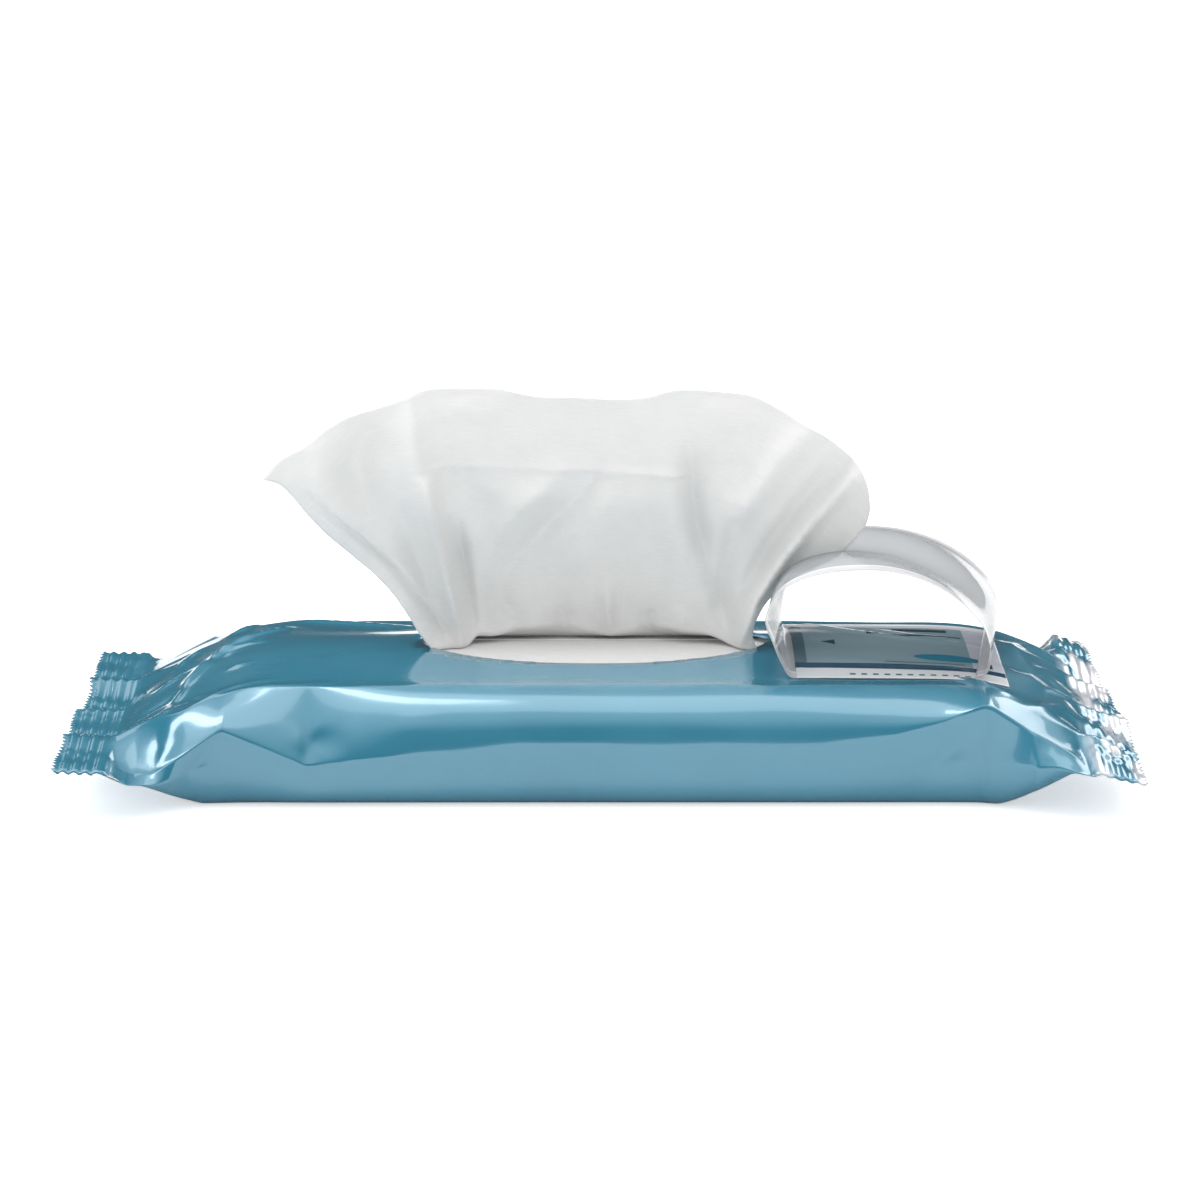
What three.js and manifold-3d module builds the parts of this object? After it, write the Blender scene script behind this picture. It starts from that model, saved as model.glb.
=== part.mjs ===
// Opened soft pack of 40 interfolded wet wipes, in millimetres, +Z up.
// The pack lies flat: X runs from end seal to end seal, Y from front to back, and the origin is on the
// underside below the middle of the pack. One wipe stands pulled up through the opening, and the clear
// reseal label is peeled from its left end and rolled over to the right.
import * as THREE from "three";
import { mergeVertices } from "three/addons/utils/BufferGeometryUtils.js";
import Module from "manifold-3d";

const wasm = await Module();
wasm.setup();

// Driving dimensions -------------------------------------------------------------------------------

const pack = {
  halfLength: 133, // to the cut edge of an end seal
  halfDepth: 47, // of the body that holds the wipes
  shoulder: 27.6, // height of the long top edges
  crown: 3.0, // rise of the top film between those edges
  cornerRadius: 4.2,
  filmWall: 0.35, // the real film is about 0.07 thick
  topTaperStart: 84, // |x| where the top starts to fall to the seal
  topTaperPower: 1.9,
  bottomTaperStart: 97, // |x| where the underside leaves the table
  bottomTaperPower: 1.3,
};

const seal = {
  halfSpan: 59, // the flattened film tube, along Y
  width: 12.5,
  height: 12, // of the seal above the table
  thickness: 0.8,
  ribs: 5,
  ribHeight: 0.35,
  toothPitch: 1.9667, // sixty teeth over the span
  toothDepth: 1.0,
};

const fin = {
  // lengthwise back seal, folded flat into a shallow channel in the underside
  channelFrom: -2.5,
  channelTo: 12,
  channelDepth: 0.95,
  channelRamp: 1.5,
  width: 10,
  thickness: 0.5,
  clearance: 0.12,
  halfLength: 118,
};

const opening = { centreX: -1.5, centreY: 2, halfLength: 43.5, halfDepth: 19 };

const stack = {
  wipes: 39, // folded in the pack; the fortieth is the raised one
  halfLength: 88,
  halfDepth: 44.6,
  bottom: 1.45,
  top: 26.3,
  ply: 0.27, // thickness of one layer of cloth
  edgeRoom: 0.9, // from a free edge to the crease that wraps round it
};

const label = {
  front: -28,
  back: 30,
  thickness: 0.25,
  gap: 0.3,
  skew: 0.09, // the roll runs a little to the right towards the back
  liftRange: 12, // height over which the roll stops following the pack's crown
  backDrop: 2.5, // the roll's back edge is this much lower than its front edge
};

const raised = { thickness: 0.5, columns: 26 };

// Small geometry tools ------------------------------------------------------------------------------

const clamp01 = (value) => Math.min(1, Math.max(0, value));
const lerp = THREE.MathUtils.lerp;

/** A buffer geometry from points and triangles, turned so that its faces point out. */
function solidFrom(points, triangles) {
  let volume = 0;
  const normal = new THREE.Vector3();
  for (const [a, b, c] of triangles) {
    volume += points[a].dot(normal.crossVectors(points[b], points[c]));
  }
  const facing = volume < 0 ? triangles.map(([a, b, c]) => [a, c, b]) : triangles;
  const geometry = new THREE.BufferGeometry().setFromPoints(points);
  geometry.setIndex(facing.flat());
  return geometry;
}

/** Closes a row of rings, each a loop of the same number of points, with a fan at both ends. */
function loftSolid(rings) {
  const count = rings[0].length;
  const points = rings.flat();
  const triangles = [];
  for (let row = 0; row + 1 < rings.length; row += 1) {
    for (let step = 0; step < count; step += 1) {
      const a = row * count + step;
      const b = row * count + ((step + 1) % count);
      triangles.push([a, b, b + count], [a, b + count, a + count]);
    }
  }
  for (const [ring, start, flip] of [
    [rings[0], 0, false],
    [rings.at(-1), (rings.length - 1) * count, true],
  ]) {
    const hub = points.length;
    const centre = ring.reduce((sum, point) => sum.add(point), new THREE.Vector3());
    points.push(centre.divideScalar(count));
    for (let step = 0; step < count; step += 1) {
      const a = start + step;
      const b = start + ((step + 1) % count);
      triangles.push(flip ? [a, b, hub] : [b, a, hub]);
    }
  }
  return solidFrom(points, triangles);
}

/** The normal of a grid of points at one of its nodes, from its neighbours along both directions. */
function gridNormal(grid, row, column) {
  const rows = [Math.max(row - 1, 0), Math.min(row + 1, grid.length - 1)];
  const columns = [Math.max(column - 1, 0), Math.min(column + 1, grid[0].length - 1)];
  const along = grid[rows[1]][column].clone().sub(grid[rows[0]][column]);
  const across = grid[row][columns[1]].clone().sub(grid[row][columns[0]]);
  return along.cross(across).normalize();
}

/** Gives an open grid of points a thickness, as one closed solid. */
function sheetSolid(grid, thickness) {
  const columns = grid[0].length;
  const faces = [0.5, -0.5].map((side) =>
    grid.flatMap((line, row) =>
      line.map((point, column) =>
        point.clone().addScaledVector(gridNormal(grid, row, column), side * thickness))));
  const points = faces.flat();
  const half = faces[0].length;
  const triangles = [];
  for (let row = 0; row + 1 < grid.length; row += 1) {
    for (let column = 0; column + 1 < columns; column += 1) {
      const a = row * columns + column;
      const corners = [a, a + 1, a + columns + 1, a + columns];
      triangles.push([corners[0], corners[1], corners[2]], [corners[0], corners[2], corners[3]]);
      const under = corners.map((corner) => corner + half);
      triangles.push([under[0], under[2], under[1]], [under[0], under[3], under[2]]);
    }
  }
  for (const [a, b] of gridRim(grid.length, columns)) {
    triangles.push([a, a + half, b + half], [a, b + half, b]);
  }
  return solidFrom(points, triangles);
}

/** The edges round a grid's rim, in one turning direction. */
function gridRim(rows, columns) {
  const loop = [];
  for (let column = 0; column < columns - 1; column += 1) loop.push(column);
  for (let row = 0; row < rows - 1; row += 1) loop.push(row * columns + columns - 1);
  for (let column = columns - 1; column > 0; column -= 1) loop.push((rows - 1) * columns + column);
  for (let row = rows - 1; row > 0; row -= 1) loop.push(row * columns);
  return loop.map((node, index) => [node, loop[(index + 1) % loop.length]]);
}

/** A manifold solid from a closed three.js geometry. */
function toManifold(geometry) {
  const bare = geometry.clone();
  bare.deleteAttribute("normal");
  bare.deleteAttribute("uv");
  const merged = mergeVertices(bare, 1e-5);
  return new wasm.Manifold(new wasm.Mesh({
    numProp: 3,
    vertProperties: new Float32Array(merged.attributes.position.array),
    triVerts: new Uint32Array(merged.index.array),
  }));
}

/** A three.js geometry from a manifold solid. */
function toGeometry(manifold) {
  const mesh = manifold.getMesh();
  const geometry = new THREE.BufferGeometry();
  geometry.setAttribute("position", new THREE.BufferAttribute(mesh.vertProperties, mesh.numProp));
  geometry.setIndex(new THREE.BufferAttribute(mesh.triVerts, 1));
  return geometry;
}

/** A named mesh with its own material and smooth-shaded normals. */
function piece(name, geometry, colour, roughness, metalness) {
  geometry.computeVertexNormals();
  const material = new THREE.MeshStandardMaterial({ color: colour, roughness, metalness });
  const mesh = new THREE.Mesh(geometry, material);
  mesh.name = name;
  return mesh;
}

// The film pack -------------------------------------------------------------------------------------

const sealStart = pack.halfLength - seal.width;

/** How far the top (or the underside) has come from the body, 0, to the flat seal, 1. */
const topTaper = (x) =>
  clamp01((Math.abs(x) - pack.topTaperStart) / (sealStart - pack.topTaperStart)) ** pack.topTaperPower;
const bottomTaper = (x) =>
  clamp01((Math.abs(x) - pack.bottomTaperStart) / (sealStart - pack.bottomTaperStart))
  ** pack.bottomTaperPower;

/** Height of the top film's outer face at the middle part of the pack. */
function filmTop(x, y) {
  const flatHalf = pack.halfDepth - pack.cornerRadius;
  const body = pack.shoulder + pack.crown * (1 - clamp01(Math.abs(y) / flatHalf) ** 2);
  const sealed = seal.height + (body / pack.shoulder - 0.5) * seal.thickness;
  return lerp(body, sealed, topTaper(x));
}

/** The outline of the body's cross-section, as [y, z] points that run once round it. */
function bodyOutline() {
  const outline = [];
  const flatHalf = pack.halfDepth - pack.cornerRadius;
  const arc = (centreY, centreZ, from, to, steps) => {
    for (let step = 0; step <= steps; step += 1) {
      const angle = lerp(from, to, step / steps);
      outline.push([
        centreY + pack.cornerRadius * Math.cos(angle),
        centreZ + pack.cornerRadius * Math.sin(angle),
      ]);
    }
  };
  for (const part of [-0.75, -0.5, -0.25, 0, 0.25, 0.5, 0.75]) {
    outline.push([flatHalf * part, pack.shoulder + pack.crown * (1 - part ** 2)]);
  }
  const turn = Math.PI / 2;
  const upper = pack.shoulder - pack.cornerRadius;
  const sideLevels = [0.7, 0.5, 0.3].map((part) => part * pack.shoulder);
  arc(flatHalf, upper, turn, 0, 3);
  for (const level of sideLevels) outline.push([pack.halfDepth, level]);
  arc(flatHalf, pack.cornerRadius, 0, -turn, 3);
  outline.push([26, 0], [fin.channelTo + fin.channelRamp, 0], [fin.channelTo, fin.channelDepth]);
  outline.push([fin.channelFrom, fin.channelDepth], [fin.channelFrom - fin.channelRamp, 0], [-23, 0]);
  arc(-flatHalf, pack.cornerRadius, -turn, -2 * turn, 3);
  for (const level of sideLevels.toReversed()) outline.push([-pack.halfDepth, level]);
  arc(-flatHalf, upper, 2 * turn, turn, 3);
  return outline;
}

/** Where each outline point comes to lie along Y once the tube is pressed flat. */
function flattenedY(outline) {
  const length = [0];
  for (let index = 1; index <= outline.length; index += 1) {
    const [y0, z0] = outline[index - 1];
    const [y1, z1] = outline[index % outline.length];
    length.push(length[index - 1] + Math.hypot(y1 - y0, z1 - z0));
  }
  const round = length.at(-1);
  const middle = length[3]; // the fourth point is the middle of the top
  return outline.map((_, index) => {
    const part = ((length[index] - middle) / round + 1.5) % 1 - 0.5; // -0.5 … 0.5 from the top's middle
    const side = Math.sign(part);
    const quarter = Math.abs(part) * 4;
    return side * seal.halfSpan * (quarter <= 1 ? quarter : 2 - quarter);
  });
}

/** One cross-section of the film tube at x, moved up by lift. */
function tubeRing(x, lift, outline, flatY) {
  const tapers = [bottomTaper(x), topTaper(x)];
  const flattening = (tapers[0] + tapers[1]) / 2;
  return outline.map(([y, z], index) => {
    const level = z / pack.shoulder;
    const taper = lerp(tapers[0], tapers[1], clamp01(level));
    const sealedZ = seal.height + (level - 0.5) * seal.thickness;
    return new THREE.Vector3(x, lerp(y, flatY[index], flattening), lerp(z, sealedZ, taper) + lift);
  });
}

/** The positions along X of the cross-sections of one half of the body, from the middle out. */
const bodyStations = [30, 60, 84, 89, 93, 97, 102, 107, 111.5, 115.5, 118.5];

/** The same on both sides of the middle, in rising order. */
const mirrored = (values) => [...values.map((value) => -value).reverse(), 0, ...values];

/** The outer shape of the film tube with its ribbed, flat ends. */
function outerTube(outline, flatY) {
  const ribStations = [];
  for (let step = 0; step <= 2 * seal.ribs; step += 1) {
    ribStations.push(sealStart + (step * seal.width) / (2 * seal.ribs));
  }
  const rings = mirrored([...bodyStations, ...ribStations]).map((x) => {
    const step = Math.round(((Math.abs(x) - sealStart) / seal.width) * 2 * seal.ribs);
    const rib = step > 0 ? (step % 2 ? 1 : -1) * seal.ribHeight : 0;
    return tubeRing(x, rib, outline, flatY);
  });
  return loftSolid(rings);
}

/** The hollow of the tube: the outer cross-sections, moved in by the film's thickness. */
function innerTube(outline, flatY) {
  const rings = mirrored(bodyStations).map((x) => {
    const ring = tubeRing(x, 0, outline, flatY);
    return ring.map((point, index) => {
      const before = ring[(index + ring.length - 1) % ring.length];
      const after = ring[(index + 1) % ring.length];
      const inward = new THREE.Vector3(0, after.z - before.z, before.y - after.y).normalize();
      return point.clone().addScaledVector(inward, pack.filmWall);
    });
  });
  return loftSolid(rings);
}

/** The back seal: a strip folded flat under the pack, joined to the film along its root. */
function finStrip() {
  const { width, thickness, clearance, channelDepth } = fin;
  const rootTop = channelDepth + pack.filmWall / 2;
  const section = [
    [-thickness, rootTop],
    [-thickness, clearance],
    [width, clearance],
    [width, clearance + thickness],
    [0.1, clearance + thickness],
    [0.1, rootTop],
  ];
  const stations = mirrored(bodyStations).filter((x) => Math.abs(x) <= fin.halfLength);
  return loftSolid(stations.map((x) => {
    const rise = lerp(0, seal.height - seal.thickness / 2, bottomTaper(x));
    return section.map(([y, z]) => new THREE.Vector3(x, y, z + rise));
  }));
}

/** An upright prism over a flat shape, from z = 0 to z = height. */
function uprightPrism(shape, height, curveSegments) {
  return new THREE.ExtrudeGeometry(shape, { depth: height, bevelEnabled: false, curveSegments });
}

/** The oval that is cut out of the top film. */
function openingPrism() {
  const oval = new THREE.Shape();
  oval.absellipse(opening.centreX, opening.centreY, opening.halfLength, opening.halfDepth, 0, 2 * Math.PI);
  const prism = uprightPrism(oval, pack.shoulder, 20);
  prism.translate(0, 0, pack.shoulder / 2);
  return prism;
}

/** The zigzag cutter that trims the seal at the +X end, or at the -X end for side = -1. */
function zigzagCutter(side) {
  const teeth = Math.round((2 * seal.halfSpan) / seal.toothPitch) + 2;
  const startY = -(teeth * seal.toothPitch) / 2;
  const outline = [];
  for (let tooth = 0; tooth <= teeth; tooth += 1) {
    const y = startY + tooth * seal.toothPitch;
    outline.push(new THREE.Vector2(side * pack.halfLength, y - seal.toothPitch / 2));
    outline.push(new THREE.Vector2(side * (pack.halfLength - seal.toothDepth), y));
  }
  const outside = side * (pack.halfLength + 5);
  outline.push(new THREE.Vector2(outside, outline.at(-1).y), new THREE.Vector2(outside, outline[0].y));
  return uprightPrism(new THREE.Shape(outline), 2 * seal.height, 1);
}

/** The whole film: one thin hollow shell with its opening, end seals and back seal. */
function filmWrapper() {
  const outline = bodyOutline();
  const flatY = flattenedY(outline);
  let film = toManifold(outerTube(outline, flatY)).subtract(toManifold(innerTube(outline, flatY)));
  film = film.subtract(toManifold(openingPrism()));
  film = film.add(toManifold(finStrip()));
  for (const side of [-1, 1]) film = film.subtract(toManifold(zigzagCutter(side)));
  return piece("film_wrapper", toGeometry(film), 0x3a7c99, 0.25, 0.8);
}

// The wipes -----------------------------------------------------------------------------------------

/** The two layers that a folded wipe takes up in the stack, counted down from the top. */
function layersOf(index) {
  const upper = index === 1 ? 0 : 2 * index - 3;
  const lower = index === stack.wipes ? 2 * index - 1 : 2 * index;
  return [upper, lower];
}

/**
 * One folded wipe: two legs joined by a crease, at the front for odd numbers and at the back for even
 * ones. Its lower leg lies over the next wipe's upper leg, so that each wipe draws up the next.
 */
function foldedWipe(index) {
  const pitch = (stack.top - stack.bottom) / (2 * stack.wipes);
  const [upper, lower] = layersOf(index).map((layer) => stack.top - (layer + 0.5) * pitch);
  const middle = (upper + lower) / 2;
  const reach = (upper - lower) / 2;
  const outerRadius = reach + stack.ply / 2;
  const innerRadius = reach - stack.ply / 2;
  const bendY = stack.halfDepth - outerRadius;
  const freeY = -(stack.halfDepth - outerRadius - stack.edgeRoom);
  const section = new THREE.Shape();
  section.moveTo(freeY, middle + outerRadius);
  section.absarc(bendY, middle, outerRadius, Math.PI / 2, -Math.PI / 2, true);
  section.lineTo(freeY, middle - outerRadius);
  section.lineTo(freeY, middle - innerRadius);
  section.absarc(bendY, middle, innerRadius, -Math.PI / 2, Math.PI / 2, false);
  section.lineTo(freeY, middle + innerRadius);
  section.closePath();
  const geometry = new THREE.ExtrudeGeometry(section, {
    depth: 2 * stack.halfLength,
    bevelEnabled: false,
    curveSegments: 4,
  });
  // The shape's x becomes Y, its y becomes Z, and the extrusion runs along X.
  geometry.applyMatrix4(new THREE.Matrix4().set(
    0, 0, 1, -stack.halfLength,
    1, 0, 0, 0,
    0, 1, 0, 0,
    0, 0, 0, 1,
  ));
  if (index % 2) geometry.rotateZ(Math.PI);
  return piece(`wipe_${String(index + 1).padStart(2, "0")}`, geometry, 0xf2f1ec, 0.9, 0);
}

/**
 * Rows of the raised wipe, from its end inside the pack to its top edge. Each gives the place of its
 * middle, the X of its two side edges, how much lower than the middle those edges are, and the depth
 * and number of its gathers.
 */
const raisedRows = [
  { y: -37, z: 26.85, left: -82, right: 82, drop: [0, 0], wave: 0 },
  { y: 28, z: 26.85, left: -82, right: 82, drop: [0, 0], wave: 0 },
  { y: 29.2, z: 27.3, left: -82, right: 82, drop: [0, 0], wave: 0 },
  { y: 28, z: 27.75, left: -82, right: 82, drop: [0, 0], wave: 0 },
  { y: 20, z: 28.2, left: -70, right: 69, drop: [0, 0], wave: 0 },
  { y: 12, z: 28.7, left: -48, right: 47, drop: [0, 0], wave: 0 },
  { y: 6, z: 29.1, left: -37, right: 36, drop: [0, 0], wave: 0 },
  { y: 3.4, z: 30.2, left: -33, right: 33, drop: [0, 0], wave: 1.6 },
  { y: 3, z: 36, left: -38, right: 34, drop: [2, 2], wave: 2.2 },
  { y: 3, z: 43, left: -47, right: 37, drop: [5, 3], wave: 2.6 },
  { y: 3, z: 56, left: -58, right: 38, drop: [7, 5], wave: 3.2 },
  { y: 2, z: 70, left: -70, right: 52, drop: [9.5, 9.5], wave: 3.6 },
  { y: 1, z: 84, left: -79, right: 65, drop: [15, 18], wave: 4 },
  { y: 0, z: 94, left: -84, right: 68, drop: [20, 24], wave: 4.4 },
];
const gathers = 5;
const droopPower = 3.5;

/** The wipe that stands pulled up through the opening, with its lower part on the stack's top. */
function raisedWipe() {
  const grid = raisedRows.map((row) => {
    const line = [];
    for (let column = 0; column <= raised.columns; column += 1) {
      const across = (2 * column) / raised.columns - 1;
      const drop = row.drop[across < 0 ? 0 : 1] * Math.abs(across) ** droopPower;
      line.push(new THREE.Vector3(
        lerp(row.left, row.right, (across + 1) / 2),
        row.y + row.wave * Math.sin(gathers * Math.PI * across),
        row.z - drop,
      ));
    }
    return line;
  });
  return piece("raised_wipe", sheetSolid(grid, raised.thickness), 0xf6f5f0, 0.9, 0);
}

// The reseal label ----------------------------------------------------------------------------------

/** The label's run: X, and height above the top film, from its stuck right end to its free end. */
const labelRun = [
  [101, 0], [92, 0], [83, 0], [74, 0], [65, 0], [56, 0], [50, 0], [47, 0.1],
  [44.9, 3.5], [42.6, 9], [40.6, 15.5], [44, 22], [52, 26], [62, 27.2], [72, 26.4], [82, 23],
  [90, 17.4], [95, 11], [96, 5.5], [94.2, 1.9], [90.5, 0.75], [83, 0.7],
];

/** The label: one clear film, stuck down for the first part of its run and rolled over after it. */
function resealLabel() {
  const curve = new THREE.CatmullRomCurve3(
    labelRun.map(([x, height]) => new THREE.Vector3(x, 0, height)), false, "centripetal");
  const samples = curve.getPoints(2 * (labelRun.length - 1));
  const widthSteps = 6;
  const grid = samples.map((sample) => {
    const line = [];
    for (let step = 0; step <= widthSteps; step += 1) {
      const y = lerp(label.front, label.back, step / widthSteps);
      const lifted = clamp01(sample.z / label.liftRange);
      const x = sample.x + label.skew * (y - label.front) * lifted;
      const base = lerp(filmTop(x, y), filmTop(0, label.front), lifted);
      const backDrop = label.backDrop * lifted * (step / widthSteps);
      line.push(new THREE.Vector3(x, y, base + label.gap + label.thickness / 2 + sample.z - backDrop));
    }
    return line;
  });
  return piece("reseal_label", sheetSolid(grid, label.thickness), 0xdfe8ec, 0.15, 0);
}

// The assembly --------------------------------------------------------------------------------------

const group = new THREE.Group();
group.add(filmWrapper(), resealLabel(), raisedWipe());
for (let index = 1; index <= stack.wipes; index += 1) group.add(foldedWipe(index));

export default group;
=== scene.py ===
"""Looks of an opened soft pack of wet wipes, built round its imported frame.

The pack lies on a pale floor. Its metallised film, the crimped end seals, the peeled reseal label and the
cloths are each modelled as their own piece, in metres, in the frame's own axes.
"""
import logging
import math
from dataclasses import dataclass, field
from enum import Enum
from typing import Callable, Sequence

import bmesh
import bpy
import numpy as np
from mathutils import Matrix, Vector, noise

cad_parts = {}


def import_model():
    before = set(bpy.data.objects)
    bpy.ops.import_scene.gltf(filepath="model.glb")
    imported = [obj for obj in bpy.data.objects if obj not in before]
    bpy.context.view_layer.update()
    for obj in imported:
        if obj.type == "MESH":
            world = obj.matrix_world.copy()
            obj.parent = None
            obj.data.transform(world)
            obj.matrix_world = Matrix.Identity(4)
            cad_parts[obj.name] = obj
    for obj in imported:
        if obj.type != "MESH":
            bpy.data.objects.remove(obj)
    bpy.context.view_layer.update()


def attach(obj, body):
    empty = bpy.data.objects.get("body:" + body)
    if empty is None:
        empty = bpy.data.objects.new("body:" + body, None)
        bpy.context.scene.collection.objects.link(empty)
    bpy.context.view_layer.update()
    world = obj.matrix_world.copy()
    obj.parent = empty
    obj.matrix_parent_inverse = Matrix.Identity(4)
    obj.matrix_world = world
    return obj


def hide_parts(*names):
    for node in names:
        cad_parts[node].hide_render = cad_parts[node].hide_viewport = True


LOG = logging.getLogger("wipes_pack")
MM = 0.001
Array = np.ndarray
Point = tuple[float, float]


# --- Small numeric tools, all in millimetres ---
def smooth(edge0: float, edge1: float, value: Array) -> Array:
    """Give the smooth step of a value between two edges.

    Args:
        edge0: where the step is 0.
        edge1: where the step is 1.
        value: the values to step.

    Returns:
        Values from 0 to 1.
    """
    t = np.clip((value - edge0) / (edge1 - edge0), 0.0, 1.0)
    return t * t * (3.0 - 2.0 * t)


def mix(a: Array, b: Array, t: Array) -> Array:
    """Blend linearly from a to b."""
    return a + (b - a) * t


def spline(points: Sequence[Sequence[float]], t: Array) -> Array:
    """Run a smooth curve through points, spaced by the distance between them.

    Args:
        points: the curve's points, in any number of dimensions.
        t: places along the curve, from 0 to 1.

    Returns:
        One row of coordinates for each place.
    """
    p = np.asarray(points, float)
    knots = np.concatenate([[0.0], np.cumsum(np.linalg.norm(np.diff(p, axis=0), axis=1))])
    knots /= knots[-1]
    slope = np.gradient(p, knots, axis=0)
    t = np.clip(np.asarray(t, float), 0.0, 1.0)
    i = np.clip(np.searchsorted(knots, t, side="right") - 1, 0, len(p) - 2)
    h = (knots[i + 1] - knots[i])[..., None]
    s = ((t - knots[i]) / h[..., 0])[..., None]
    h00, h10 = 2 * s**3 - 3 * s**2 + 1, s**3 - 2 * s**2 + s
    h01, h11 = -2 * s**3 + 3 * s**2, s**3 - s**2
    return h00 * p[i] + h10 * h * slope[i] + h01 * p[i + 1] + h11 * h * slope[i + 1]


def near_line(x: Array, z: Array, line: Sequence[Point]) -> tuple[Array, Array]:
    """Measure how far places are from a broken line, and where along it they lie.

    Args:
        x, z: coordinates.
        line: the line's points.

    Returns:
        The distance, and the part of the line's length at its nearest point.
    """
    best = np.full(np.shape(x), 1e9)
    along = np.zeros(np.shape(x))
    lengths = [math.dist(a, b) for a, b in zip(line, line[1:])]
    total, before = sum(lengths), 0.0
    for (ax, az), (bx, bz), length in zip(line, line[1:], lengths):
        t = ((x - ax) * (bx - ax) + (z - az) * (bz - az)) / length**2
        t = np.clip(t, 0.0, 1.0)
        distance = np.hypot(x - ax - t * (bx - ax), z - az - t * (bz - az))
        closer = distance < best
        best = np.where(closer, distance, best)
        along = np.where(closer, (before + t * length) / total, along)
        before += length
    return best, along


def scaled(x: Array, y: Array, z: Array, scale: Array | float) -> list[Vector]:
    """List places as vectors, divided by a feature's size."""
    return [Vector(p) for p in zip(*(np.ravel(axis) / scale for axis in (x, y, z)))]


def ruffle(x: Array, y: Array, z: Array, scale: float, octaves: int = 3) -> Array:
    """Sample smooth noise at places.

    Args:
        x, y, z: coordinates.
        scale: size of the largest features.
        octaves: how many finer layers are added.

    Returns:
        Values from about -1 to 1.
    """
    values = [noise.fractal(p, 1.0, 2.0, octaves) for p in scaled(x, y, z, scale)]
    return np.array(values).reshape(np.shape(x))


def crumple(x: Array, y: Array, z: Array, scale: Array | float) -> Array:
    """Sample a field of flat facets that meet in sharp creases.

    Args:
        x, y, z: coordinates.
        scale: width of a facet.

    Returns:
        Values from 0 on a crease's bottom to about 1 on a ridge.
    """
    distances = [noise.voronoi(p)[0] for p in scaled(x, y, z, scale)]
    return np.array([d[1] - d[0] for d in distances]).reshape(np.shape(x))


@dataclass(frozen=True)
class Fold:
    """A ridge or valley that runs along a line on a sheet.

    Attributes:
        line: the fold's points.
        depth: how far it moves the sheet, outwards where positive.
        width: its half width.
        sharp: 1 for a round fold, 2 for a crease.
    """

    line: tuple[Point, ...]
    depth: float
    width: float
    sharp: float = 1.0

    def lift(self, x: Array, z: Array) -> Array:
        """Give the fold's movement at places, fading out at its two ends.

        Args:
            x, z: coordinates.

        Returns:
            The movement, in the fold's own units.
        """
        distance, along = near_line(x, z, self.line)
        fade = np.sin(np.pi * np.clip(0.08 + 0.84 * along, 0, 1)) ** 0.6
        profile = np.exp(-((distance / self.width) ** (2.0 / self.sharp)))
        return self.depth * profile * fade


@dataclass(frozen=True)
class CreaseLine:
    """The line along a long wall where the shoulder starts, and how round the shoulder is above it.

    Attributes:
        points: each point's place along the pack, its height, and 1 for a flat slope to 2 for a round one.
    """

    points: tuple[tuple[float, float, float], ...]

    def at(self, x: Array) -> tuple[Array, Array]:
        """Give the line's height and the shoulder's roundness at places along the pack."""
        places, heights, rounds = np.array(self.points).T
        return np.interp(x, places, heights), np.interp(x, places, rounds)


# --- Mesh tools ---
def grid_piece(name: str, columns: int, rows: int, place: Callable[[Array, Array], Array],
               uv: Callable[[Array, Array], Array] | None = None, weld: float = 0.0,
               drop: Callable[[Array], Array] | None = None) -> bpy.types.Object:
    """Make a piece from a flat grid that is bent into place.

    Args:
        name: the piece's name.
        columns: steps along the grid's first side.
        rows: steps along its second side.
        place: gives the places, in millimetres, for grid steps i and j.
        uv: gives the pattern's coordinates for grid steps i and j.
        weld: joins points closer than this, in millimetres.
        drop: marks the places that are cut away.

    Returns:
        The new object.
    """
    bm = bmesh.new()
    bmesh.ops.create_grid(bm, x_segments=columns, y_segments=rows, size=0.5)
    flat = np.array([v.co[:2] for v in bm.verts])
    i = np.rint((flat[:, 0] + 0.5) * columns).astype(int)
    j = np.rint((flat[:, 1] + 0.5) * rows).astype(int)
    places = place(i, j)
    if uv is not None:
        layer = bm.loops.layers.uv.new("Pattern")
        marks = uv(i, j)
        bm.verts.index_update()
        for face in bm.faces:
            for loop in face.loops:
                loop[layer].uv = marks[loop.vert.index]
    for vert, co in zip(bm.verts, places * MM):
        vert.co = co
    if drop is not None:
        gone = drop(places)
        bmesh.ops.delete(bm, geom=[v for v, g in zip(list(bm.verts), gone) if g], context="VERTS")
    if weld:
        bmesh.ops.remove_doubles(bm, verts=bm.verts, dist=weld * MM)
    return finished(name, bm)


def finished(name: str, bm: bmesh.types.BMesh) -> bpy.types.Object:
    """Turn a bmesh into a smooth-shaded object at the origin.

    Args:
        name: the object's name.
        bm: the mesh, which is freed.

    Returns:
        The new object.
    """
    mesh = bpy.data.meshes.new(name)
    for face in bm.faces:
        face.smooth = True
    bm.to_mesh(mesh)
    bm.free()
    piece = bpy.data.objects.new(name, mesh)
    bpy.context.scene.collection.objects.link(piece)
    return piece


def thicken(piece: bpy.types.Object, thickness: float, offset: float = -1.0,
            inner_slot: int = 0) -> None:
    """Give a sheet its thickness, in millimetres, as a live modifier."""
    shell = piece.modifiers.new("Thickness", "SOLIDIFY")
    shell.thickness = thickness * MM
    shell.offset = offset
    shell.material_offset = inner_slot


def install(piece: bpy.types.Object, slot: str, *nodes: str) -> None:
    """Ride a piece on the pack, in place of its frame nodes, and report it."""
    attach(piece, "root")
    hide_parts(*nodes)
    LOG.info("made %s for %d node(s)", piece.name, len(nodes))


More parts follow.
